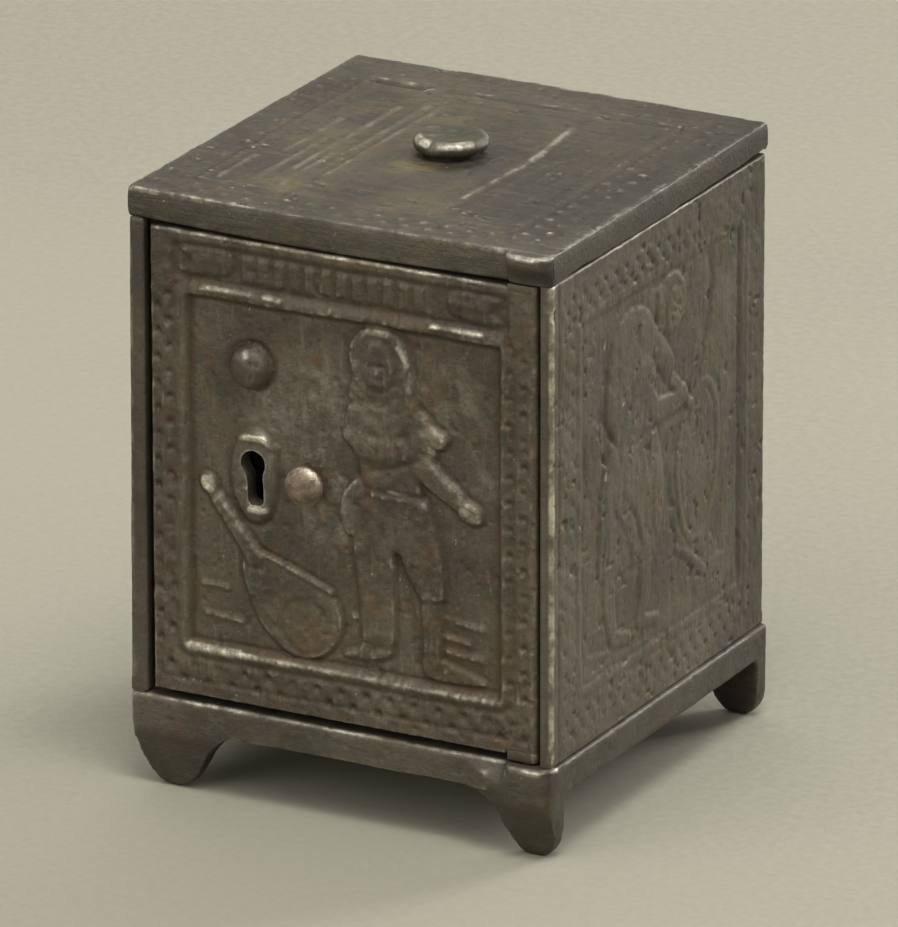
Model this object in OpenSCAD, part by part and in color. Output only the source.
// Toy safe coin bank: cast panels held by one tie screw, hinged lockable door.
// Millimetres. X right, Y to the back, Z up. The front faces -Y.
// Origin: middle of the footprint, on the standing surface.

/* [Body] */
// width over the side walls
body_w = 56.6; // [40:0.2:90]
// depth from front plane to back plane
body_d = 56.5; // [40:0.5:90]
// height of the top surface of the base casting
base_top = 11.9; // [9:0.1:16]
// height of the underside of the top plate
plate_bot = 72.2; // [50:0.1:110]
// edge thickness of the top plate
plate_t = 4.0; // [3:0.1:6]
// how far the top plate stands out past the back wall
plate_over = 0.8; // [0:0.1:1.5]
// wall thickness of the side walls
wall_t = 1.4; // [1.2:0.1:2.4]
// depth of the sunk picture fields on walls
field_sink = 0.4; // [0.2:0.05:0.5]

/* [Base and feet] */
// apron lower edge height
apron_z = 7.7; // [6:0.1:9]
// apron thickness
apron_t = 1.8; // [1.4:0.1:3]
// thickness of each foot, front to back
foot_t = 3; // [2.4:0.1:5]
// how far the base stands out past each side wall
base_over = 0.6; // [0:0.1:1.5]

/* [Door and hinge] */
// thickness of the door plate
door_t = 2.4; // [2:0.1:4]
// depth of the sunk picture field
door_sink = 0.7; // [0.4:0.1:1]
// distance from the hinge axis to the door's outer faces beside it
stile = 1.7; // [1.5:0.05:2]
// rounding of the stile's front corner, so it turns clear of the wall
stile_r = 0.8; // [0.7:0.05:1.4]
// radius of the door's pintles
pintle_r = 1.1; // [0.8:0.05:1.4]
// running clearance of pintles in their holes, radial
pintle_gap = 0.08; // [0.03:0.01:0.1]
// how far the hinge ears stand out of the front
ear_out = 1.6; // [1:0.1:2.4]

/* [Lock] */
// travel of the bolt
bolt_travel = 3.0; // [2:0.1:3.2]
// sliding clearance round the bolt
bolt_gap = 0.1; // [0.05:0.01:0.2]
// radius of the keyhole's round part
key_r = 1.65; // [1.2:0.05:2.2]
// width of the keyhole's slot
key_slot = 2.2; // [1.6:0.1:2.4]
// how far the pull knob stands out of the front
knob_out = 2.2; // [1.5:0.1:3]

/* [Coin slot] */
// length of the slot in the back wall
coin_l = 28; // [22:0.5:34]
// height of the slot
coin_h = 2.8; // [2:0.1:3.6]

/* [Tie screw] */
// radius of the head
head_r = 4.55; // [3.5:0.05:6]
// height of the head
head_h = 2.4; // [1.6:0.1:3.4]
// radius of the shank
shank_r = 1.6; // [1.2:0.1:2.2]

/* [Hidden] */
$fn = 48;
hw = body_w / 2;                 // outer face of the side walls
yf = -(body_d + plate_over - knob_out) / 2; // front plane; the box is even about Y = 0
yb = yf + body_d;                // back plane
ybp = yb + plate_over;           // back edge of the top plate
yc = (yf + yb) / 2;
hp = hw + 0.3;                   // half width of the top plate
hb = hw + base_over;             // half width of the base
plate_top = plate_bot + plate_t;
wi = hw - wall_t;                // inner face of the side walls
// hinge axis
hx = wi - stile - 0.5;
hy = yf + 1.6;
hole_r = pintle_r + pintle_gap;
// door
dl = -hw + 2.8;                  // free edge
dz0 = base_top + 0.9;
dz1 = plate_bot - 0.7;
db = yf + door_t;                // back face of the door
// lock
kx = -11.8;  kz = 43.6;          // keyhole centre
nx = -4.5;   nz = 42.2;          // knob
bx = -11.5;  bz = 56;            // boss behind the ball
bolt_z0 = 45.6; bolt_z1 = 50;
bolt_y0 = db + 1.9; bolt_y1 = bolt_y0 + 1.7;
cov0 = bolt_y1 + bolt_gap; cov1 = cov0 + 1.2;
flange_x = -hw + 4.3;            // edge of the strike flange
tip_x = flange_x + 0.5;          // bolt tip when withdrawn
e = 0.01;

// --- helpers -------------------------------------------------------------
// box from corner a to corner b
module bx3(a, b) { translate(a) cube([b[0]-a[0], b[1]-a[1], b[2]-a[2]]); }
// drawing on the front: x from the left edge, y up; raised towards -Y from plane y
module on_front(y, h) { translate([-28, y, 0]) rotate([90, 0, 0]) linear_extrude(h) children(); }
// drawing on the right wall: x from the front edge; raised towards +X from plane x
module on_right(x, h) { translate([x, yf, 0]) rotate([90, 0, 90]) linear_extrude(h) children(); }
// the same drawing on the left wall, running from the back edge
module on_left(x, h) { translate([-x, yb, 0]) rotate([90, 0, -90]) linear_extrude(h) children(); }
// drawing on the back, x from the wall's own left edge seen from behind
module on_back(y, h) { translate([28, y, 0]) rotate([90, 0, 180]) linear_extrude(h) children(); }
// drawing on the top, x from the left, y from the front
module on_top(z, h) { translate([-28, yf, z]) linear_extrude(h) children(); }
module bar(a, b, w) {
    l = norm([b[0]-a[0], b[1]-a[1]]);
    translate(a) rotate(atan2(b[1]-a[1], b[0]-a[0])) translate([0, -w/2]) square([l, w]);
}
module frame2(x0, y0, x1, y1, w) {
    difference() {
        translate([x0, y0]) square([x1-x0, y1-y0]);
        translate([x0+w, y0+w]) square([x1-x0-2*w, y1-y0-2*w]);
    }
}
// one row of small six-sided pits between two points
module pit_row(a, b, n) {
    for (i = [0 : n-1]) translate([a[0] + (b[0]-a[0])*i/(n-1), a[1] + (b[1]-a[1])*i/(n-1)]) circle(r = 0.62, $fn = 6);
}
module cham_x(x0, x1, y, z, c) { // 45 degree cut along X
    translate([x0, y, z]) rotate([45, 0, 0]) translate([0, -c*0.7071, -c*0.7071]) cube([x1-x0, c*1.4142, c*1.4142]);
}
module cham_y(y0, y1, x, z, c) {
    translate([x, y0, z]) rotate([0, 45, 0]) translate([-c*0.7071, 0, -c*0.7071]) cube([c*1.4142, y1-y0, c*1.4142]);
}
module cham_z(z0, z1, x, y, c) {
    translate([x, y, z0]) rotate([0, 0, 45]) translate([-c*0.7071, -c*0.7071, 0]) cube([c*1.4142, c*1.4142, z1-z0]);
}

// --- hinge ear, shared by base and top plate ------------------------------
module ear(z0, z1, w) {
    r = 1.2;
    translate([hx - 0.9, yf - ear_out + r, z0]) cylinder(r = r, h = z1 - z0);
    translate([w - r - 0.1, yf - ear_out + r, z0]) cylinder(r = r, h = z1 - z0);
    bx3([hx - 0.9, yf - ear_out, z0], [w - r - 0.1, yf + 1, z1]);
    bx3([hx - 0.9 - r, yf - ear_out + r, z0], [w - 0.1, yf + 1, z1]);
    translate([hx, hy, z0]) cylinder(r = 2.7, h = z1 - z0);
}

// --- base -------------------------------------------------------------------
// outline of one foot seen from the front, outer side at x = 0. The right-hand pair stands straighter on its outer side.
module foot_2d(straight = false) {
    polygon(straight
        ? [[0, apron_z + 1], [0.05, 5], [0.15, 3.2], [0.5, 1.8], [1.1, 0.8], [1.8, 0.15], [2.3, 0],
           [4.6, 0], [5.2, 0.35], [5.9, 1.3], [6.6, 2.6], [7.4, 4.2], [8.3, 5.6], [9.5, 6.7], [10.9, 7.4], [12.2, apron_z], [12.2, apron_z + 1]]
        : [[0, apron_z + 1], [0.2, 7.2], [0.5, 6], [0.95, 4.6], [1.6, 3.1], [2.3, 1.8], [3.1, 0.8], [3.8, 0.2], [4.3, 0],
           [6.1, 0], [6.8, 0.25], [7.9, 1], [8.9, 2.2], [9.7, 3.5], [10.4, 4.8], [11.3, 6], [12.4, 7.1], [13.4, apron_z], [13.4, apron_z + 1]]);
}
module foot(straight = false) { rotate([90, 0, 0]) translate([0, 0, -foot_t]) linear_extrude(foot_t) foot_2d(straight); }

module base_casting() {
    color([0.25, 0.22, 0.19])
    difference() {
        union() {
            bx3([-hb, yf, base_top - 1.7], [hb, yb, base_top]);
            // apron
            bx3([-hb, yf, apron_z], [hb, yf + apron_t, base_top]);
            bx3([-hb, yb - apron_t, apron_z], [hb, yb, base_top]);
            bx3([-hb, yf, apron_z], [-hb + apron_t, yb, base_top]);
            bx3([hb - apron_t, yf, apron_z], [hb, yb, base_top]);
            // feet
            translate([-hb, yf, 0]) foot();
            translate([-hb, yb - foot_t, 0]) foot();
            mirror([1, 0, 0]) translate([-hb, yf, 0]) foot(true);
            mirror([1, 0, 0]) translate([-hb, yb - foot_t, 0]) foot(true);
            // boss round the tie screw
            translate([0, yc, base_top - 3.2]) cylinder(r = 4.2, h = 3.2);
            // ribs that keep the walls in place
            for (s = [-1, 1]) bx3([s > 0 ? wi - 1.3 : -wi + 0.1, yf + 6, base_top - e],
                                  [s > 0 ? wi - 0.1 : -wi + 1.3, yb - 4.4, base_top + 1.2]);
            ear(apron_z, base_top, hb);
        }
        // pintle hole
        translate([hx, hy, base_top - 3]) cylinder(r = hole_r, h = 4);
        // tie screw hole
        translate([0, yc, 0]) cylinder(r = shank_r + 0.1, h = 20);
        // the front feet draw in towards the ground at the front, the back feet thin out on the inside
        translate([-hb - 1, yf, 0]) rotate([90, 0, 90]) linear_extrude(2 * hb + 2)
            polygon([[-1, -1], [-1, apron_z - 0.6], [0, apron_z - 0.6], [0.2, 5.4], [0.5, 3.2], [0.85, 1.4], [1.1, 0.5], [1.4, 0], [1.4, -1]]);
        translate([-hb - 1, yb - foot_t, 0]) rotate([90, 0, 90]) linear_extrude(2 * hb + 2)
            polygon([[-1, -1], [-1, 4.2], [0, 4.2], [0.3, 2.2], [0.6, 0.8], [0.95, 0], [0.95, -1]]);
        translate([-hb - 1, yb, 0]) rotate([90, 0, 90]) linear_extrude(2 * hb + 2)
            polygon([[1, -1], [1, 2], [0, 2], [-0.12, 0.8], [-0.35, 0], [-0.35, -1]]);
        // worn top edges
        cham_x(-hb - 1, hx - 2.4, yf, base_top, 0.35);
        cham_x(-hb - 1, hb + 1, yb, base_top, 0.35);
        cham_y(yf - 1, yb + 1, -hb, base_top, 0.25);
        cham_y(yf + 3, yb + 1, hb, base_top, 0.25);
        for (sx = [-1, 1]) cham_z(-1, base_top + 1, sx * hb, yb, 0.5);
        cham_z(-1, base_top + 1, -hb, yf, 0.5);
    }
}

// --- side walls -------------------------------------------------------------
module wall_pits_2d() {
    pit_row([4.4, 15.4], [52.6, 15.4], 14);
    pit_row([4.4, 68.6], [52.6, 68.6], 14);
    pit_row([3.6, 19.2], [3.6, 65], 13);
    pit_row([53, 19.2], [53, 65], 13);
    pit_row([6.3, 17], [50.7, 17], 12);
    pit_row([6.3, 67.2], [50.7, 67.2], 12);
}
// generic picture: a player bending over a big racket
module wall_relief_low_2d() {
    // back, skirt and legs
    polygon([[15.5, 61.5], [19, 63.5], [24, 62.5], [26.6, 58], [26.4, 52], [28.4, 46], [29.6, 41.5], [24, 41], [23, 32],
             [21, 31.5], [20.6, 41], [19.6, 31.5], [16.6, 32], [15.6, 41.4], [13.4, 42], [14.6, 48], [18, 51], [16, 55]]);
    translate([11.4, 46.2]) circle(r = 3);
    bar([30, 29.2], [40, 24.2], 0.9);
    bar([9.5, 25.6], [22, 24.4], 0.9);
}
module wall_relief_2d() {
    // racket
    difference() {
        translate([38.7, 38]) scale([0.6, 1.02]) circle(r = 10);
        translate([38.7, 38]) scale([0.6, 1.02]) circle(r = 8.2);
    }
    for (i = [-2 : 2]) bar([38.7 + i*2, 38 - 8.2 + abs(i)*0.9], [38.7 + i*2, 38 + 8.2 - abs(i)*0.9], 0.45);
    for (i = [-3 : 3]) bar([34.1 + abs(i)*0.35, 38 + i*2.3], [43.3 - abs(i)*0.35, 38 + i*2.3], 0.45);
    bar([36, 46.6], [25.4, 57.2], 2.4);
    translate([35.6, 46.8]) circle(r = 2.1);
    // head
    translate([31, 61]) circle(r = 3.6);
    bar([27.6, 63.6], [27.6, 55.4], 1.1);
}
// wall plate with picture field, drawn for the right-hand side
module wall_front(side) {
    difference() {
        bx3([wi, yf, base_top], [hw, yb, plate_bot]);
        if (side > 0) {
            on_right(hw - field_sink, 1) difference() {
                translate([8, 19.5]) square([41.5, 45]);
                wall_relief_low_2d();
                wall_relief_2d();
            }
            on_right(hw - 0.28, 1) wall_pits_2d();
            on_right(hw - 0.3, 1) difference() { frame2(6.6, 17.9, 51, 66.2, 1.4); frame2(7.2, 18.5, 50.4, 65.6, 0.5); }
            on_right(hw - 0.15, 1) intersection() { translate([8, 19.5]) square([41.5, 45]); wall_relief_low_2d(); }
        } else {
            mirror([1, 0, 0]) {
                on_left(hw - field_sink, 1) difference() {
                    translate([7, 19.5]) square([41.5, 45]);
                    wall_relief_low_2d();
                    wall_relief_2d();
                }
                on_left(hw - 0.28, 1) wall_pits_2d();
                on_left(hw - 0.3, 1) difference() { frame2(5.5, 17.9, 49.9, 66.2, 1.4); frame2(6.1, 18.5, 49.3, 65.6, 0.5); }
                on_left(hw - 0.15, 1) intersection() { translate([7, 19.5]) square([41.5, 45]); wall_relief_low_2d(); }
            }
        }
    }
    // groove ribs for the back wall
    bx3([wi - 1.5, yb - 1.2, base_top], [wi + e, yb, plate_bot]);
    bx3([wi - 1.5, yb - 4.2, base_top + 1.3], [wi + e, yb - 2.85, plate_bot - 1.3]);
}
module right_wall() {
    color([0.30, 0.27, 0.23]) difference() {
        wall_front(1);
        cham_z(0, 80, hw, yf, 0.3);
        cham_z(0, 80, hw, yb, 0.4);
    }
}
module left_wall() {
    color([0.30, 0.27, 0.23]) mirror([1, 0, 0]) difference() {
        union() {
            wall_front(-1);
            bx3([wi - 0.5, yf, base_top], [wi + e, yf + 1.6, plate_bot]);
            // flange: stops the door and takes the bolt behind it
            bx3([-flange_x, db + 0.2, base_top], [wi + e, db + 1.6, plate_bot]);
        }
        cham_z(0, 80, hw, yf, 0.3);
        cham_z(0, 80, hw, yb, 0.4);
    }
}

// --- back wall, with the coin slot ---------------------------------------------
module back_wall() {
    y1 = yb - 1.25; y0 = yb - 2.8;
    color([0.27, 0.24, 0.21]) difference() {
        bx3([-wi + 0.1, y0, base_top], [wi - 0.1, y1, plate_bot]);
        bx3([-coin_l/2, y0 - 1, 64 - coin_h/2], [coin_l/2, y1 + 1, 64 + coin_h/2]);
        on_back(y1 - 0.35, 1) difference() {
            translate([8, 19.5]) square([40, 38]);
            translate([28, 38.5]) circle(r = 11);
        }
        on_back(y1 - 0.35, 1) translate([28, 38.5]) difference() {
            circle(r = 9.6);
            for (a = [0 : 45 : 135]) rotate(a) square([16, 1.6], center = true);
            circle(r = 2.6);
        }
        on_back(y1 - 0.25, 1) { pit_row([6, 16], [50, 16], 13); pit_row([6, 69.4], [50, 69.4], 13); }
    }
}

// --- top plate --------------------------------------------------------------------
module top_relief_2d() {
    frame2(6, 5.6, 50, 50.6, 0.9);
    // sunk panel round the raised tablet
    difference() {
        translate([8.4, 8.2]) square([39.4, 39.6]);
        translate([19, 10.6]) square([18.6, 34.4]);
    }
}
module top_plate() {
    color([0.27, 0.24, 0.21]) difference() {
        union() {
            bx3([-hp, yf, plate_top - 1.9], [hp, ybp, plate_top]);
            bx3([-hp, yf, plate_bot], [hp, yf + 2.2, plate_top]);
            bx3([-hp, yb - 2.6, plate_bot], [hp, ybp, plate_top]);
            bx3([-hp, yf, plate_bot], [-hp + 2.6, ybp, plate_top]);
            bx3([hp - 2.6, yf, plate_bot], [hp, ybp, plate_top]);
            translate([0, yc, plate_bot]) cylinder(r = 4.2, h = 3);
            for (s = [-1, 1]) bx3([s > 0 ? wi - 1.3 : -wi + 0.1, yf + 6, plate_bot - 1.2],
                                  [s > 0 ? wi - 0.1 : -wi + 1.3, yb - 4.4, plate_top - 1]);
            ear(plate_bot, plate_top - 0.4, hp);
        }
        translate([hx, hy, plate_bot - 1]) cylinder(r = hole_r, h = 3.9);
        translate([0, yc, plate_bot - 1]) cylinder(r = shank_r + 0.1, h = 20);
        on_top(plate_top - 0.3, 1) top_relief_2d();
        on_top(plate_top - 0.28, 1) {
            pit_row([3.4, 3], [52.6, 3], 15);
            pit_row([3.4, 53.5], [52.6, 53.5], 15);
            pit_row([3.4, 6.6], [3.4, 49.9], 13);
            pit_row([52.6, 6.6], [52.6, 49.9], 13);
        }
        cham_x(-hp - 1, hx - 2.3, yf, plate_top, 0.45);
        cham_x(-hp - 1, hp + 1, ybp, plate_top, 0.45);
        cham_y(yf + 1, ybp + 1, hp, plate_top, 0.45);
        cham_y(yf - 1, ybp + 1, -hp, plate_top, 0.45);
        for (sx = [-1, 1]) cham_z(70, 80, sx * hp, ybp, 0.6);
        cham_z(70, 80, -hp, yf, 0.6);
    }
}

// --- tie screw and nut ----------------------------------------------------------------
module tie_screw() {
    color([0.33, 0.30, 0.26]) translate([0, yc, 0]) {
        translate([0, 0, plate_top - 0]) cylinder(r1 = head_r - 0.5, r2 = head_r, h = 0.7);
        translate([0, 0, plate_top + 0.7]) cylinder(r = head_r, h = head_h - 1.5);
        translate([0, 0, plate_top + head_h - 0.8]) cylinder(r1 = head_r, r2 = head_r - 1.1, h = 0.8);
        translate([0, 0, base_top - 6]) cylinder(r = shank_r, h = plate_top - base_top + 6 + 0.2);
    }
}
module tie_nut() {
    color([0.33, 0.30, 0.26]) translate([0, yc, base_top - 3.2 - 2.4]) difference() {
        translate([-3.2, -3.2, 0]) cube([6.4, 6.4, 2.4]);
        translate([0, 0, -1]) cylinder(r = shank_r, h = 5);
        for (a = [0 : 90 : 270]) rotate(a) translate([3.2, 3.2, -1]) rotate(45) translate([-0.5, -2, 0]) cube([2, 4, 5]);
    }
}

// --- door -----------------------------------------------------------------------------
module racket_ring_2d() {
    difference() {
        polygon([[15, 33], [14.6, 30.6], [15.3, 26.8], [16.9, 23.5], [19, 20.9], [22, 19.8], [25, 20.4], [27, 22.4], [27.6, 24.7],
                 [26.8, 27.3], [25.2, 29.3], [22.6, 30.6], [19.8, 32], [17, 33.2]]);
        polygon([[16.3, 31.4], [16.2, 29.8], [16.8, 27.2], [18.1, 24.5], [19.9, 22.3], [22.2, 21.3], [24.4, 21.8], [25.8, 23.3], [26.2, 24.8],
                 [25.5, 26.8], [24.2, 28.2], [22, 29.2], [19.2, 30.6], [17.3, 31.6]]);
    }
}
module racket_2d() {
    racket_ring_2d();
    bar([10.2, 39.6], [16.2, 31.8], 1.7);
    translate([9.9, 40]) circle(r = 1.5);
    intersection() {
        polygon([[16.3, 31.4], [16.2, 29.8], [16.8, 27.2], [18.1, 24.5], [19.9, 22.3], [22.2, 21.3], [24.4, 21.8], [25.8, 23.3], [26.2, 24.8],
                 [25.5, 26.8], [24.2, 28.2], [22, 29.2], [19.2, 30.6], [17.3, 31.6]]);
        union() {
            for (i = [-4 : 4]) translate([21 + i*1.5, 26.5]) rotate(-52) square([20, 0.4], center = true);
            for (i = [-4 : 4]) translate([21, 26.5 + i*1.5]) rotate(38) square([20, 0.4], center = true);
        }
    }
}
module figure_low_2d() {
    polygon([[31, 55.6], [35.6, 55.9], [38.4, 53.6], [39.2, 49], [38.2, 43.4], [39.8, 41.6], [41.2, 31], [40.3, 30.5], [41, 23],
             [37.8, 23], [36.4, 31], [35.1, 35.4], [34.6, 23.6], [31.2, 23.6], [30.6, 32], [30.3, 41.6], [31.2, 47], [30, 52]]);
    polygon([[28, 20.5], [34.6, 20.7], [34.6, 24.2], [31.1, 24.2], [28.1, 21.8]]);
    polygon([[37.6, 20.3], [46.6, 20.7], [46.4, 22.1], [41.2, 24.2], [37.7, 24.2]]);
    bar([42.6, 28], [47.6, 28], 0.7);
    bar([8.6, 23.4], [13.6, 23.4], 0.7);
    bar([30.6, 41.4], [28.4, 38], 1.6);
}
module figure_high_2d() {
    translate([33.4, 59]) circle(r = 3.4);
    polygon([[32.8, 45.2], [39, 45.6], [41.8, 51], [39.8, 53], [36.6, 49.6], [32.8, 49.2]]);
    polygon([[38, 47.6], [40.2, 47.8], [46.4, 42.8], [45, 40.2], [38.3, 44.4]]);
    translate([45.4, 41.4]) circle(r = 2.2);
    bar([31.2, 43.2], [38.8, 43.2], 1.1);
}
module escutcheon_2d() {
    translate([0, 1.6]) circle(r = 3.3);
    translate([0, -2.4]) circle(r = 3.1);
    translate([-3.1, -2.4]) square([6.2, 4]);
}
module keyhole_2d(r) {
    circle(r = r);
    translate([-key_slot/2, -5.2]) square([key_slot, 5.2]);
}
// hinge side of the door, from x0 to its rounded front corner
module post(x0, z0, z1) {
    bx3([x0, yf, z0], [hx + stile - stile_r, db, z1]);
    bx3([x0, yf + stile_r, z0], [hx + stile, db, z1]);
    translate([hx + stile - stile_r, yf + stile_r, z0]) cylinder(r = stile_r, h = z1 - z0);
}
module door() {
    color([0.24, 0.21, 0.18]) difference() {
        union() {
            difference() {
                bx3([dl, yf, dz0], [hx + stile - stile_r, db, dz1]);
                // sunk field
                on_front(yf + door_sink, 3) translate([7.4, 19.5]) square([41.9, 44]);
                // grooves beside the moulding
                on_front(yf + 0.25, 3) difference() { frame2(5.2, 17.9, 51.2, 64.9, 2.3); frame2(6, 18.6, 50.4, 64.2, 0.8); }
                // pits of the border
                on_front(yf + 0.28, 3) {
                    pit_row([3.9, 20], [3.9, 63.6], 12);
                    pit_row([52.2, 20], [52.2, 63.6], 12);
                    pit_row([5, 16.8], [51, 16.8], 13);
                    pit_row([6.9, 14.7], [49.1, 14.7], 12);
                }
                // title strip with plain upright reeding
                on_front(yf + 0.3, 3) for (i = [0 : 12]) translate([14.8 + i*2.1, 66.3]) square([0.9, 3.4]);
                on_front(yf + 0.3, 3) {
                    polygon([[6.4, 69.8], [9.6, 68.2], [6.4, 66.4], [12.6, 66.4], [12.6, 69.8]]);
                    polygon([[49, 69.8], [45.8, 68.2], [49, 66.4], [42.8, 66.4], [42.8, 69.8]]);
                }
            }
            // hinge stile and pintles
            post(hx + stile - stile_r - 0.1, dz0, dz1);
            post(hx - 2.2, base_top + 0.2, dz0 + 0.5);
            post(hx - 2.2, dz1 - 0.5, plate_bot - 0.1);
            translate([hx, hy, base_top - 2.6]) cylinder(r = pintle_r, h = plate_bot - base_top + 5);
            // pictures in the field
            on_front(yf + door_sink + e, door_sink * 0.75) { racket_2d(); figure_low_2d(); }
            on_front(yf + door_sink + e, door_sink * 1.1) figure_high_2d();
            // ball
            translate([bx, yf + door_sink + 0.4, bz]) sphere(r = 2.65);
            // escutcheon
            translate([kx, yf + door_sink + e, kz - 1.7]) rotate([90, 0, 0]) linear_extrude(door_sink + 0.35) escutcheon_2d();
            // seats of the lock on the back
            translate([bx, db - 0.5, bz]) rotate([-90, 0, 0]) cylinder(r = 2.7, h = cov0 - db + 0.5);
            translate([nx, db - 0.5, nz]) rotate([-90, 0, 0]) cylinder(r = 2.5, h = cov0 - db + 0.5);
            bx3([-19.5, db - 0.5, bolt_z0], [-16.5, bolt_y0 - bolt_gap, bolt_z1]);
            bx3([-8, db - 0.5, bolt_z0], [-5, bolt_y0 - bolt_gap, bolt_z1]);
        }
        // keyhole
        translate([kx, db + 1, kz]) rotate([90, 0, 0]) linear_extrude(6) keyhole_2d(key_r);
        // holes for knob shank and lock screw
        translate([nx, yf - 1, nz]) rotate([-90, 0, 0]) cylinder(r = 1.35, h = 12);
        translate([bx, yf + 1.6, bz]) rotate([-90, 0, 0]) cylinder(r = 0.95, h = 8);
        // shallow seat round the knob, flat field
        translate([nx, yf - 4 + door_sink, nz]) rotate([-90, 0, 0]) cylinder(r = 2.9, h = 4);
        // rim of the escutcheon: sunk flat round the keyhole
        translate([kx, yf, kz - 1.7]) rotate([90, 0, 0]) linear_extrude(2) {
            translate([0, 1.6]) circle(r = 2.5);
            translate([0, -2.4]) circle(r = 2.3);
            translate([-2.3, -2.4]) square([4.6, 4]);
        }
        // the back of the ball stays inside the plate
        bx3([bx - 3, db, bz + 2.75], [bx + 3, db + 6, bz + 4]);
    }
}
module door_knob() {
    color([0.55, 0.47, 0.40]) translate([nx, 0, nz]) rotate([-90, 0, 0]) {
        translate([0, 0, yf + door_sink]) mirror([0, 0, 1]) cylinder(r = 1.9, h = 0.9);
        translate([0, 0, yf + door_sink - 0.9]) mirror([0, 0, 1]) cylinder(r = 2.5, h = 0.7);
        translate([0, 0, yf + door_sink - 1.6]) mirror([0, 0, 1]) cylinder(r1 = 2.5, r2 = 1.9, h = 0.8);
        translate([0, 0, yf + door_sink - 2.4]) mirror([0, 0, 1]) cylinder(r1 = 1.9, r2 = 0.9, h = knob_out + door_sink - 2.4);
        translate([0, 0, yf + door_sink - 0.5]) cylinder(r = 1.3, h = cov1 - yf - door_sink + 0.5);
        translate([0, 0, cov1]) cylinder(r1 = 2, r2 = 1.5, h = 0.8);
    }
}

// --- lock ---------------------------------------------------------------------------
module lock_case() {
    color([0.36, 0.34, 0.30]) difference() {
        union() {
            // cover
            translate([0, cov1, 0]) rotate([90, 0, 0]) linear_extrude(cov1 - cov0)
                polygon([[-20.5, 44], [-20.5, 53.4], [-14.6, 53.4], [-14.6, 58.6], [-8.4, 58.6], [-8.4, 53.4], [-0.6, 53.4],
                         [-0.6, 39], [-15, 39], [-15, 44]]);
            // rails
            bx3([-20.5, db, bolt_z1 + bolt_gap], [-0.6, cov0 + e, bolt_z1 + 3.2]);
            bx3([-20.5, db, 44], [-15, cov0 + e, bolt_z0 - bolt_gap]);
            bx3([-8.6, db, 44.8], [-0.6, cov0 + e, bolt_z0 - bolt_gap]);
            // stop stud in the bolt's slot
            translate([-4, bolt_y0 + 0.1, 47.8]) rotate([-90, 0, 0]) cylinder(r = 0.9, h = cov0 - bolt_y0);
        }
        // key guide, knob shank, screw
        translate([kx, cov0 - 1, kz]) rotate([-90, 0, 0]) cylinder(r = key_r + 0.1, h = 4);
        translate([nx, cov0 - 1, nz]) rotate([-90, 0, 0]) cylinder(r = 1.35, h = 4);
        translate([bx, cov0 - 1, bz]) rotate([-90, 0, 0]) cylinder(r = 1.0, h = 4);
        // room for the spring
        bx3([-17, db - 1, bolt_z1], [-4.6, cov0, bolt_z1 + 1.9]);
    }
}
module lock_bolt() {
    color([0.45, 0.42, 0.38]) difference() {
        bx3([tip_x, bolt_y0, bolt_z0], [-0.2, bolt_y1, bolt_z1]);
        // talon the key turns against
        bx3([kx - 1.4, bolt_y0 - 1, bolt_z0 - 1], [kx + 1.4, bolt_y1 + 1, bolt_z0 + 1.5]);
        // slot for the stop stud
        translate([-4, bolt_y0 - 1, 47.8]) rotate([-90, 0, 0]) cylinder(r = 1.0, h = 4);
        translate([-4 + bolt_travel, bolt_y0 - 1, 47.8]) rotate([-90, 0, 0]) cylinder(r = 1.0, h = 4);
        bx3([-4, bolt_y0 - 1, 46.8], [-4 + bolt_travel, bolt_y1 + 1, 48.8]);
    }
}
module lock_spring() {
    color([0.5, 0.48, 0.44]) translate([0, bolt_y1, 0]) rotate([90, 0, 0]) linear_extrude(bolt_y1 - bolt_y0)
        polygon([[-17, 51.9], [-17, 51.5], [-14, 50.7], [-12, 50.25], [-9.6, 50.25], [-7.6, 50.7], [-4.6, 51.5], [-4.6, 51.9],
                 [-7.8, 51.1], [-9.8, 50.62], [-11.8, 50.62], [-13.8, 51.1]]);
}
module lock_screw() {
    color([0.42, 0.40, 0.36]) translate([bx, 0, bz]) rotate([-90, 0, 0]) difference() {
        union() {
            translate([0, 0, yf + 2]) cylinder(r = 0.9, h = cov1 - yf - 2 + e);
            translate([0, 0, cov1]) cylinder(r1 = 2, r2 = 1.7, h = 1);
        }
        translate([-3, -0.3, cov1 + 0.5]) cube([6, 0.6, 2]);
    }
}

base_casting();
left_wall();
right_wall();
back_wall();
top_plate();
tie_screw();
tie_nut();
door();
door_knob();
lock_case();
lock_bolt();
lock_spring();
lock_screw();
